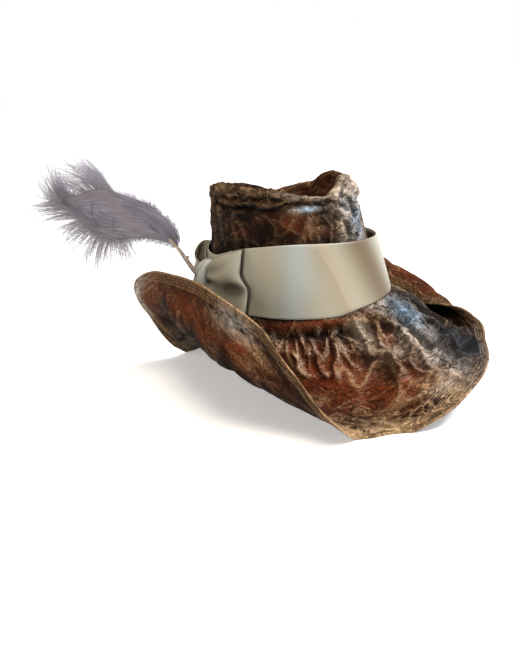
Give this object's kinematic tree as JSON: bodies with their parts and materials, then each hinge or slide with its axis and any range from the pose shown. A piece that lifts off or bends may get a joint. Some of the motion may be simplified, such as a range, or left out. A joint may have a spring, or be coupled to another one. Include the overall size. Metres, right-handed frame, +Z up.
{
  "type": "fedora",
  "caption": "Crushed velvet fedora with a dented crown, a wide brim rolled up at both sides, a ribbon band tied in a side bow and one curling plume tucked under the bow.",
  "frame": {"origin": "on the surface that the hat stands on, under the middle of the whole hat's box", "axes": "+Z is up out of the crown, the front of the hat looks along -Y, and the wearer's right, with the bow and the plume, is at -X; +Y is the longest extent, from the front of the brim to the tip of the plume"},
  "size_m": [0.3288, 0.4778, 0.2528],
  "materials": {
    "brown_velvet": "crushed velvet pile with pale crease lines",
    "champagne_satin": "satin ribbon with a soft sheen",
    "mauve_barbs": "matt downy barbs on a horn quill"
  },
  "bodies": {
    "root": {"crown": "brown_velvet", "brim": "brown_velvet", "ribbon_band": "champagne_satin", "bow_loop_near": "champagne_satin", "bow_loop_far": "champagne_satin", "bow_knot": "champagne_satin", "feather": "mauve_barbs"}
  },
  "joints": []
}
